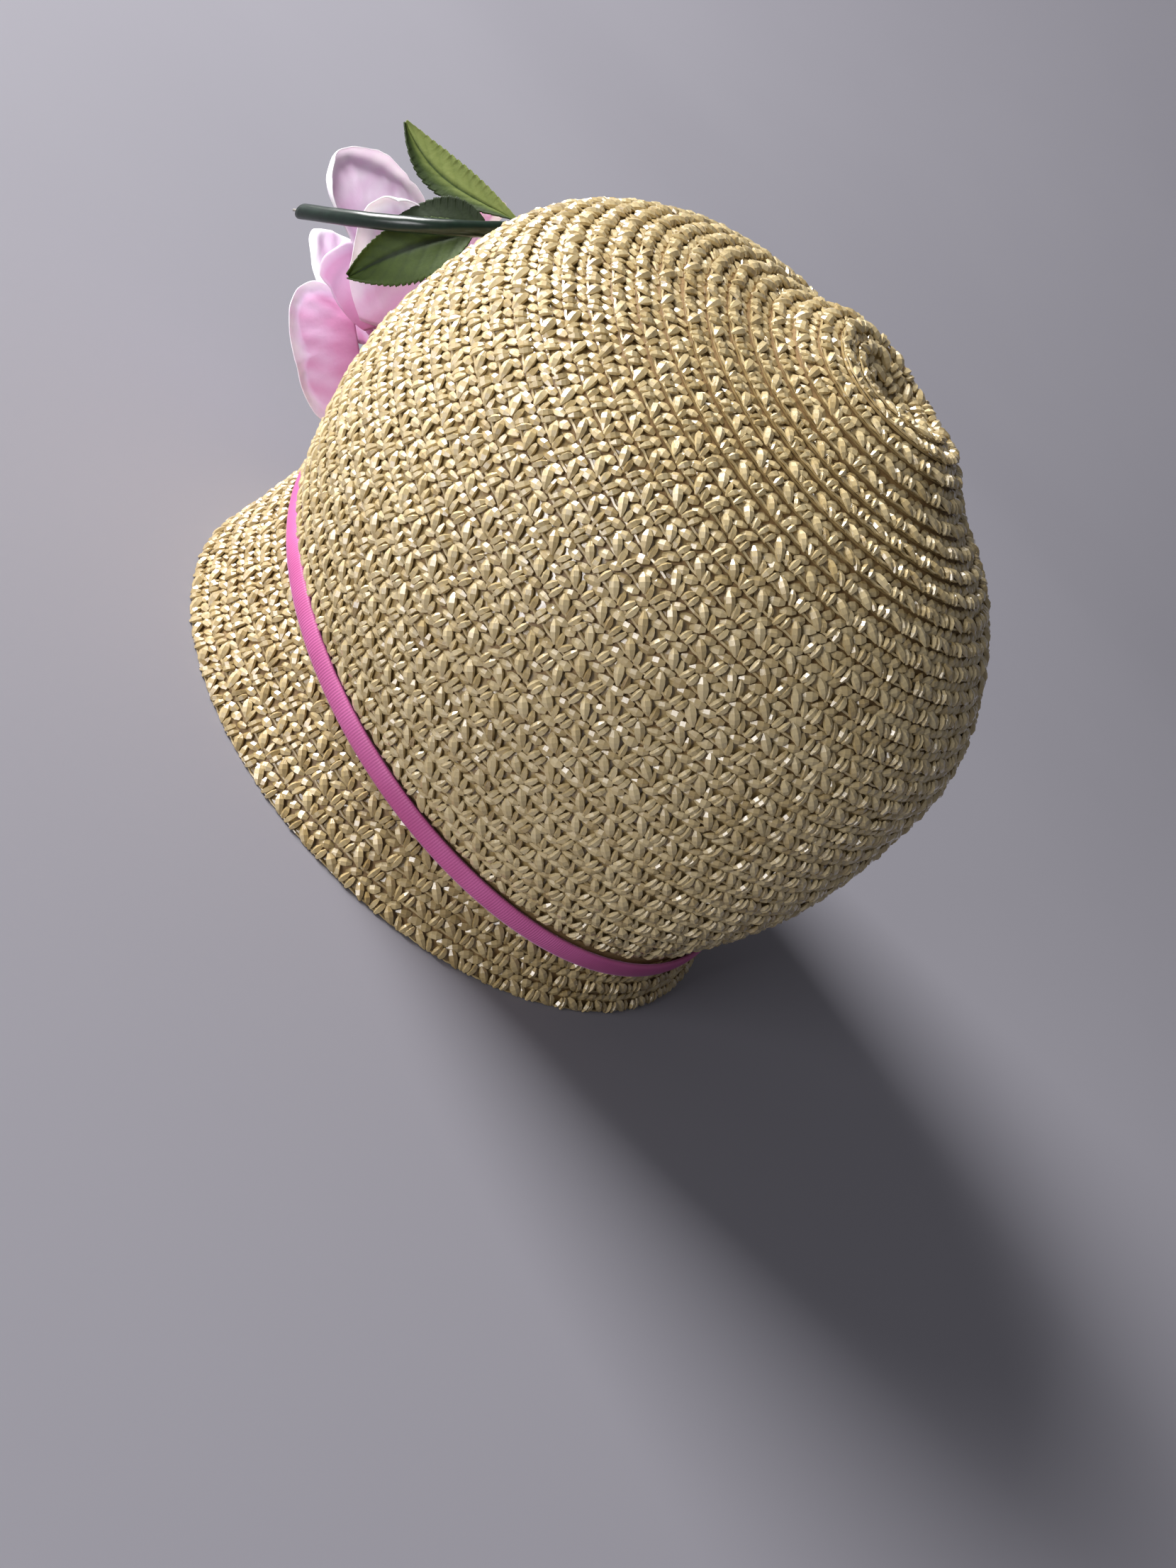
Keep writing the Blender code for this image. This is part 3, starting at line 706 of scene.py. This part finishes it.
def cloth_piece(name, points, thick, mat, shade, seam=False):
    """Closed thin cloth from a grid of points, (rows, columns, 3), in mm."""
    rows, cols = points.shape[:2]
    idx = np.arange(rows * cols).reshape(rows, cols)
    if seam:
        half = cols // 2
        idx[-1, :half] = idx[-1, ::-1][:half]
    flat = points.reshape(-1, 3)
    q = np.stack([idx[:-1, :-1], idx[1:, :-1], idx[1:, 1:], idx[:-1, 1:]], -1).reshape(-1, 4)
    fn = np.cross(flat[q[:, 2]] - flat[q[:, 0]], flat[q[:, 3]] - flat[q[:, 1]])
    normal = np.zeros_like(flat)
    for k in range(4):
        np.add.at(normal, q[:, k], fn)
    normal = unit(normal)
    loop = list(idx[0]) + list(idx[1:, -1])
    if not seam:
        loop += list(idx[-1, -2::-1])
    loop = np.array(loop + list(idx[-2:0:-1, 0]))
    nxt = np.roll(loop, -1)
    n = len(flat)
    side = np.stack([loop, nxt, nxt + n, loop + n], -1)
    quads = np.concatenate([q, q[:, ::-1] + n, side])
    verts = np.concatenate([flat + normal * thick / 2, flat - normal * thick / 2])
    used = np.unique(quads)
    back = np.zeros(2 * n, int)
    back[used] = np.arange(len(used))
    quads = back[quads]
    same = (quads[:, 0] == quads[:, 1]) | (quads[:, 1] == quads[:, 2]) | \
        (quads[:, 2] == quads[:, 3]) | (quads[:, 3] == quads[:, 0])
    tris = []
    for row in quads[same]:
        t = [v for k, v in enumerate(row) if v != row[k - 1]]
        if len(t) == 3:
            tris.append(t)
    faces = [quads[~same]] + ([np.array(tris)] if tris else [])
    obj = make_object(name, verts[used], faces, mat)
    value = np.tile(np.broadcast_to(shade, (rows, cols)).reshape(-1), 2)[used]
    a = obj.data.attributes.new("shade", "FLOAT", "POINT")
    a.data.foreach_set("value", np.ascontiguousarray(value, np.float32))
    return obj


def petal_points(row, columns=20, rows=44):
    """A cupped petal in fan-laid rows that turn round its tip, its rim rolled back."""
    (_, foot, bend, tip, cups, half, cup, widest, square, foot_share, rolls, roll_width,
     wave, shade) = row
    foot, bend, tip = (np.asarray(p, float) for p in (foot, bend, tip))
    q = np.linspace(0, 1, 201)[:, None]
    spine = (1 - q) ** 2 * foot + 2 * q * (1 - q) * bend + q * q * tip
    arc = np.concatenate([[0], np.cumsum(np.linalg.norm(np.diff(spine, axis=0), axis=1))])
    length = arc[-1]
    tangent = unit(np.gradient(spine, axis=0))
    side = unit(np.cross(tip - foot, unit(np.asarray(cups, float))))
    facing = unit(np.cross(side[None], tangent))
    g = np.linspace(0, 1, rows)
    share = 1 - (1 - g) ** 2.0
    wide = np.where(share < widest,
                    foot_share + (1 - foot_share) * np.sin(math.pi / 2 * np.minimum(share / widest, 1)) ** 1.1,
                    np.clip(1 - (np.clip(share - widest, 0, 1) / (1 - widest)) ** square, 0, 1) ** (1 / square))
    edge_b, edge_a = (wide * half)[:, None], (share * length)[:, None]
    mid = np.where(edge_a < 0.6 * length, edge_a, 0.6 * length + (edge_a - 0.6 * length) * 0.15)
    s = np.linspace(-1, 1, 2 * columns + 1)
    s = (np.sign(s) * (1 - (1 - np.abs(s)) ** 1.7))[None]
    reach = np.hypot(edge_a - mid, edge_b)
    db, da = edge_b / np.maximum(reach, 1e-6), (edge_a - mid) / np.maximum(reach, 1e-6)
    dist = np.abs(s) * reach
    tipness = g[:, None] ** 4
    roll = np.radians(np.where(s < 0, rolls[0], rolls[2]) * (1 - tipness) + rolls[1] * tipness)
    theta = np.arctan2((edge_a - mid) * np.ones_like(s), np.sign(s) * edge_b)
    roll = roll * (1 + 0.22 * np.sin(3.1 * theta + half) + 0.12 * np.sin(7.3 * theta + cup))
    roll = np.maximum(roll * np.clip(edge_a / length / 0.45, 0, 1) ** 2, 1e-3)
    width = np.minimum(roll_width * (1 + 0.15 * np.sin(5.2 * theta + cup)), reach * 0.6)
    rad = width / roll
    over = np.clip(dist - (reach - width), 0, None)
    flat = np.where(over > 0, np.maximum(reach - width, 0) + rad * np.sin(over / rad), dist)
    lift = np.where(over > 0, rad * (1 - np.cos(over / rad)), 0.0)
    lift = lift + wave * np.sin(9.3 * (1 - share)[:, None] + 2.3 * s + half) * (dist / np.maximum(reach, 1e-6)) ** 3
    b = np.sign(s) * flat * db
    a = mid + flat * da
    out = np.clip(dist / np.maximum(reach, 1e-6), 0, 1)
    crease = 0.5 * (0.30 * np.sin(0.55 * b + 0.21 * a + half) * np.sin(0.33 * a + cup)
              + 0.16 * np.sin(1.1 * b - 0.4 * a + 1.3 * cup)
              + 0.22 * np.sin(0.9 * b / np.maximum(0.3 + a / length, 0.3)))
    lift = lift + crease * np.clip(a / length * 2.2, 0, 1)
    at = np.interp(np.clip(a, 0, length), arc, np.arange(201))

    def along(x):
        return np.stack([np.interp(at, np.arange(201), x[:, k]) for k in range(3)], -1)

    centre = along(spine) + np.clip(a - length, 0, None)[..., None] * tangent[-1]
    n = unit(along(facing))
    bow = half / math.radians(cup)
    phi = b / bow
    n2 = n * np.cos(phi)[..., None] - side * np.sin(phi)[..., None]
    p = (centre + side * (bow * np.sin(phi))[..., None] + n * (bow * (1 - np.cos(phi)))[..., None]
         - n2 * lift[..., None])
    rim = np.clip((dist - (reach - 1.35 * width)) / (1.1 * width), 0, 1) ** 0.8
    rim = rim * np.clip(edge_a / length / 0.3, 0, 1)
    deep = np.clip(1 - a / length / 0.55, 0, 1)
    value = shade + 0.30 * deep - (0.36 + 0.2 * (shade - 0.4)) * rim + 0.05 * np.sin(0.8 * b + 0.3 * a)
    return p, value, length


def rose_point(turn, radius, reach):
    turn, radius, reach = np.broadcast_arrays(turn, radius, reach)
    out = ROSE_UP * np.cos(turn)[..., None] + ROSE_SIDE * np.sin(turn)[..., None]
    return ROSE_BASE + ROSE_AXIS * reach[..., None] + out * radius[..., None]


def bud_points(row, rows=30, cols=33):
    _, turn, half_deg, foot, rim, rim_reach, curl = row
    t = np.linspace(0, 1, rows)[:, None]
    w = np.linspace(-1, 1, cols)[None]
    t, w = np.broadcast_arrays(t, w)
    width = np.sin(math.pi * np.minimum(0.15 + 0.62 * t, 0.77)) ** 0.8
    half = math.radians(half_deg) * width * (0.62 + 0.38 * t)
    radius = foot + (rim - foot) * np.sin(t * math.pi / 2) ** 0.7
    radius = radius + curl * np.clip(t - 0.75, 0, None) * 2.2 + 1.7 * w * np.minimum(1.0, 0.35 + 1.3 * t)
    radius = radius + 0.25 * np.sin(5 * w + 7 * t + turn) * t
    reach = 5.0 + (rim_reach - 5.0) * (0.25 * t + 0.75 * t**1.25)
    reach = reach - curl * 1.2 * np.clip(t - 0.8, 0, None) - 6.0 * np.abs(w) ** 3 * t**2
    reach = reach + 0.5 * np.sin(4 * w + turn) * t**3
    edge = np.maximum(np.clip((t - 0.86) / 0.14, 0, 1), np.clip((np.abs(w) - 0.9) / 0.1, 0, 1) * t)
    value = 0.62 + 0.3 * np.clip(1 - t / 0.7, 0, 1) - 0.34 * edge
    return rose_point(np.radians(turn) + w * half, radius, reach), value


def side_area(obj):
    """One side of a thin cloth, in square metres."""
    mesh = obj.data
    areas = np.empty(len(mesh.polygons))
    mesh.polygons.foreach_get("area", areas)
    return float(areas.sum()) / 2


def declare_cloth(obj, width, length):
    """Works out the cut's size from width and length, the cut's own in mm, and the sheet's area, the cut's less its
    corners; nothing is declared and the results are not used.
    """
    w, l = width * MM, length * MM
    area = side_area(obj)
    scale = math.sqrt(max(1.0, area / (0.92 * w * l)))
    w, l = w * scale, l * scale
    area = max(area, 0.32 * w * l)


flower = []
for row in PETALS:
    grid, value, length = petal_points(row)
    piece = cloth_piece(row[0] + "_cloth", grid, CLOTH, PETAL_MAT, np.clip(value, 0, 1), seam=True)
    declare_cloth(piece, 2 * row[5], length)
    flower.append((piece, row[0], "petal_cloth"))
for row in BUD_PETALS:
    grid, value = bud_points(row)
    piece = cloth_piece(row[0] + "_cloth", grid, CLOTH, PETAL_MAT, np.clip(value, 0, 1))
    wide = 2 * math.radians(row[2]) * row[4]
    declare_cloth(piece, wide, row[5] - 3.0)
    flower.append((piece, row[0], "petal_cloth"))


def turned(name, profile, mat, shade, waves, depth, twist, around=72, rows=60):
    """A body turned round the rose's axis, with soft ridges that wind round it."""
    p = np.array(profile, float)
    s = np.concatenate([[0], np.cumsum(np.linalg.norm(np.diff(p, axis=0), axis=1))])
    t = np.linspace(0, s[-1], rows)
    radius, reach = np.interp(t, s, p[:, 0]), np.interp(t, s, p[:, 1])
    for _ in range(2):
        radius[1:-1] = (radius[:-2] + 2 * radius[1:-1] + radius[2:]) / 4
        reach[1:-1] = (reach[:-2] + 2 * reach[1:-1] + reach[2:]) / 4
    radius = np.maximum(radius[:, None], 0.02)
    turn = np.linspace(0, 2 * math.pi, around + 1)[:-1][None]
    wind = np.abs(np.sin(waves / 2 * (turn + twist * reach[:, None])))
    ring = rose_point(turn, radius * (1 - depth * (1 - wind**0.5)), reach[:, None] * np.ones_like(turn))
    n = rows * around
    faces = grid_quads(rows, around)
    verts = np.concatenate([ring.reshape(-1, 3), ring[0].mean(0)[None], ring[-1].mean(0)[None]])
    j = np.arange(around)
    k = (j + 1) % around
    caps = np.concatenate([np.stack([np.full(around, n), j, k], -1),
                           np.stack([np.full(around, n + 1), n - around + k, n - around + j], -1)])
    obj = make_object(name, verts, [faces, caps], mat)
    value = shade(turn, reach[:, None], wind)
    value = np.concatenate([np.broadcast_to(value, (rows, around)).reshape(-1), [float(np.mean(value[0]))],
                            [float(np.mean(value[-1]))]])
    a = obj.data.attributes.new("shade", "FLOAT", "POINT")
    a.data.foreach_set("value", np.ascontiguousarray(np.clip(value, 0, 1), np.float32))
    return obj


# the heart is darker in the grooves between its ridges: painted shade
heart = turned("rose_heart_cloth", ((0, 3.6), (0.9, 4.2), (1.5, 9), (3.0, 18), (4.2, 27), (4.0, 33), (2.2, 35.4), (0, 36.0)),
               PETAL_MAT, lambda turn, reach, wind: 0.95 - 0.3 * wind - 0.006 * reach, 5, 0.22, 0.09)
flower.append((heart, "rose_heart", "petal_cloth"))
# the calyx is darker in the grooves between its ridges: painted shade
calyx = turned("rose_calyx_cloth", ((0, -8.6), (1.8, -8.2), (2.4, -4.5), (5.0, -2.2), (6.6, 0.4), (5.2, 1.7), (0, 2.0)),
               LEAF_MAT, lambda turn, reach, wind: 0.25 + 0.3 * wind + 0 * reach, 5, 0.2, 0.0)
flower.append((calyx, "rose_calyx", "leaf_cloth"))

# --------------------------------------------------------------------------- leaves
# node, base, tip, half width, cup, bow, facing, teeth, tone, place of the widest part,
# sideways sweep of the middle, share of the width on the blade's narrower side
LEAVES = (
    ("leaf_upper", (20, -101, 127), (40, -142, 124), 7.2, 1.2, -1.0, (0.72, 0.10, 0.69), 19, 0.76, 1.2, 4.6, 1.0),
    ("leaf_middle", (29.5, -102, 121.4), (44.5, -118, 104.4), 8.0, 1.0, 1.0, (0.80, 0.20, 0.55), 12, 0.26, 0.82, 0.0, 1.0),
    ("leaf_lower", (36.4, -98.3, 119.4), (51, -113.4, 84), 11.3, 1.5, 5.0, (0.80, 0.36, 0.49), 21, 0.46, 0.82, 0.0, 0.72),
)


def leaf_points(row, rows=153, cols=23):
    _, base, tip, half, cup, bow, facing, teeth, tone, peak, sweep, other_side = row
    base, tip = np.asarray(base, float), np.asarray(tip, float)
    length = np.linalg.norm(tip - base)
    d = (tip - base) / length
    across = unit(np.cross(facing, d))
    n = np.cross(d, across)
    t = np.linspace(0, 1, rows)[:, None]
    w = np.linspace(-1, 1, cols)[None]
    t, w = np.broadcast_arrays(t, w)
    wide = half * np.sin(np.pi * (0.03 + 0.95 * t) ** peak) ** 0.9
    saw = (t * teeth) % 1.0
    fine = (t * teeth * 3) % 1.0
    notch = 1 - 0.075 * (1 - saw) ** 1.5 - 0.03 * (1 - fine)
    wide = wide * (1 + (notch - 1) * np.abs(w) ** 2.5)
    v = (t * 8 - 2.0 * np.abs(w) * (0.6 + 0.4 * t)) % 1.0
    vein = np.exp(-((v - 0.5) / 0.13) ** 2) * np.clip(1 - np.abs(w) ** 4, 0, 1)
    rib = np.exp(-(w / 0.075) ** 2)
    wide = np.where(w < 0, wide * (1 - (1 - other_side) * np.abs(w)), wide)
    aside = sweep * np.sin(np.pi * t**1.3)
    h = cup * (w * w - 0.5) + bow * np.sin(np.pi * t)
    h = h - 0.09 * vein - 0.55 * rib + 0.5 * np.sin(6.5 * t + 2.2 * w + half) * w * w
    p = base + d * (length * t)[..., None] + across * (wide * w + aside)[..., None] + n * h[..., None]
    value = tone - 0.34 * rib - 0.05 * vein
    # one half of the upper leaf is darkened: painted shade of its side turned away from the light
    if row[0] == "leaf_upper":
        value = value - 0.42 * np.clip(w * 1.5, 0, 1)
    return p, value, length


for row in LEAVES:
    grid, value, length = leaf_points(row)
    piece = cloth_piece(row[0] + "_cloth", grid, 0.42, LEAF_MAT, np.clip(value, 0, 1))
    declare_cloth(piece, 2 * row[3], length)
    flower.append((piece, row[0], "leaf_cloth"))

# ----------------------------------------------------------------------------- stem
STEM_RADIUS = 2.4
STEM_CUT = 1.6
STEM_LINE = ((58.0, -137.0, 87.0), (54.0, -103.0, 112.0), (30.0, -94.0, 126.0))


def stem_tube(name, first, last, radius, cut, rows, around, mat, lump):
    a, m, b = (np.array(p) for p in STEM_LINE)
    c = 2 * m - 0.5 * (a + b)
    q = np.linspace(first, last, rows)[:, None]
    line = (1 - q) ** 2 * a + 2 * q * (1 - q) * c + q * q * b
    tangent = unit(np.gradient(line, axis=0))
    side = unit(np.cross(tangent, (0, 0, 1.0)))
    up = np.cross(side, tangent)
    ang = np.linspace(0, 2 * math.pi, around + 1)[:-1]
    co, si = np.cos(ang)[None, :, None], np.sin(ang)[None, :, None]
    place = np.linspace(0, 1, rows)[:, None]
    r = radius * (1 + lump * (np.sin(23 * place + 2 * ang[None]) + 0.7 * np.sin(57 * place - ang[None])))
    r = r[..., None]
    ring = line[:, None] + r * (co * side[:, None] + si * up[:, None])
    slant = cut * np.sin(ang)[None, :, None] * np.clip(1 - place * 8, 0, 1)[..., None]
    ring = ring + tangent[:, None] * slant
    n = rows * around
    verts = np.concatenate([ring.reshape(-1, 3), ring[0].mean(0)[None] + tangent[0] * 0.15, ring[-1].mean(0)[None]])
    j = np.arange(around)
    k = (j + 1) % around
    caps = np.concatenate([np.stack([np.full(around, n), j, k], -1),
                           np.stack([np.full(around, n + 1), n - around + k, n - around + j], -1)])
    return make_object(name, verts, [grid_quads(rows, around), caps], mat)


LEAF_MAT.node_tree.nodes["Principled BSDF"].inputs["Specular IOR Level"].default_value = 0.25
STEM_MAT.node_tree.nodes["Principled BSDF"].inputs["Specular IOR Level"].default_value = 0.35
STEM_MAT.node_tree.nodes["Principled BSDF"].inputs["Coat Weight"].default_value = 0.3
STEM_MAT.node_tree.nodes["Principled BSDF"].inputs["Coat Roughness"].default_value = 0.2
stem_piece = stem_tube("stem_coated", 0.0, 1.0, STEM_RADIUS, STEM_CUT, 90, 28, STEM_MAT, 0.012)
wire = stem_tube("stem_wire", -0.045, 0.03, 0.42, 0.0, 8, 12, WIRE_MAT, 0.0)
flower.append((stem_piece, "stem", "stem_coating"))
for piece, node, slot in flower:
    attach(piece, "root")
    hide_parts(node)
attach(wire, "root")

# ---------------------------------------------------------------------------- stage
floor_mat = plain_noise_material("floor", (0.25, 0.245, 0.28), (0.24, 0.235, 0.27), 0.8, 3.0, 0.02)
n = 60
xs = np.linspace(-3000, 3000, n)
ys = np.linspace(-3000, 3000, n)
gx, gy = np.meshgrid(xs, ys, indexing="ij")
away = -(gx * 0.912 + gy * 0.409) - 900
gz = np.where(away > 0, 0.00035 * away**2, 0.0)
floor = make_object("floor", np.stack([gx, gy, gz], -1).reshape(-1, 3),
                    grid_quads(n, n, wrap=False)[:, ::-1], floor_mat)

world = bpy.data.worlds.new("studio")
bpy.context.scene.world = world
world.use_nodes = True
world.node_tree.nodes["Background"].inputs["Color"].default_value = (0.95, 0.95, 1.0, 1.0)
world.node_tree.nodes["Background"].inputs["Strength"].default_value = 0.155


def area_light(name, where, target, size, power, colour):
    data = bpy.data.lights.new(name, "AREA")
    data.size = size
    data.energy = power
    data.color = colour
    obj = bpy.data.objects.new(name, data)
    obj.location = where
    obj.rotation_euler = (Vector(target) - Vector(where)).to_track_quat("-Z", "Y").to_euler()
    bpy.context.scene.collection.objects.link(obj)


area_light("key", (0.68, -2.0, 1.18), (0, 0, 0.1), 1.15, 138.0, (1.0, 0.985, 0.975))
area_light("fill", (1.7, -0.1, 0.34), (0, 0, 0.08), 0.7, 17.0, (0.98, 0.97, 1.0))
view = bpy.context.scene.view_settings
view.view_transform = "Standard"
view.look = "None"

# ---------------------------------------------------------------------------- camera
CAMERA_AT = (0.38190, 0.21290, 0.26320)
CAMERA_RIGHT = (-0.60329, 0.49192, 0.62774)
CAMERA_UP = (-0.01473, -0.79385, 0.60793)
CAMERA_BACK = (0.79739, 0.35751, 0.48617)
cam_data = bpy.data.cameras.new("camera")
cam_data.sensor_fit = "VERTICAL"
cam_data.sensor_height = 36.0
cam_data.lens = 36.0 * 2160.0 / 2212.0
cam_data.clip_start = 0.02
camera = bpy.data.objects.new("camera", cam_data)
rot = Matrix((CAMERA_RIGHT, CAMERA_UP, CAMERA_BACK)).transposed().to_4x4()
camera.matrix_world = Matrix.Translation(CAMERA_AT) @ rot
bpy.context.scene.collection.objects.link(camera)
bpy.context.scene.camera = camera
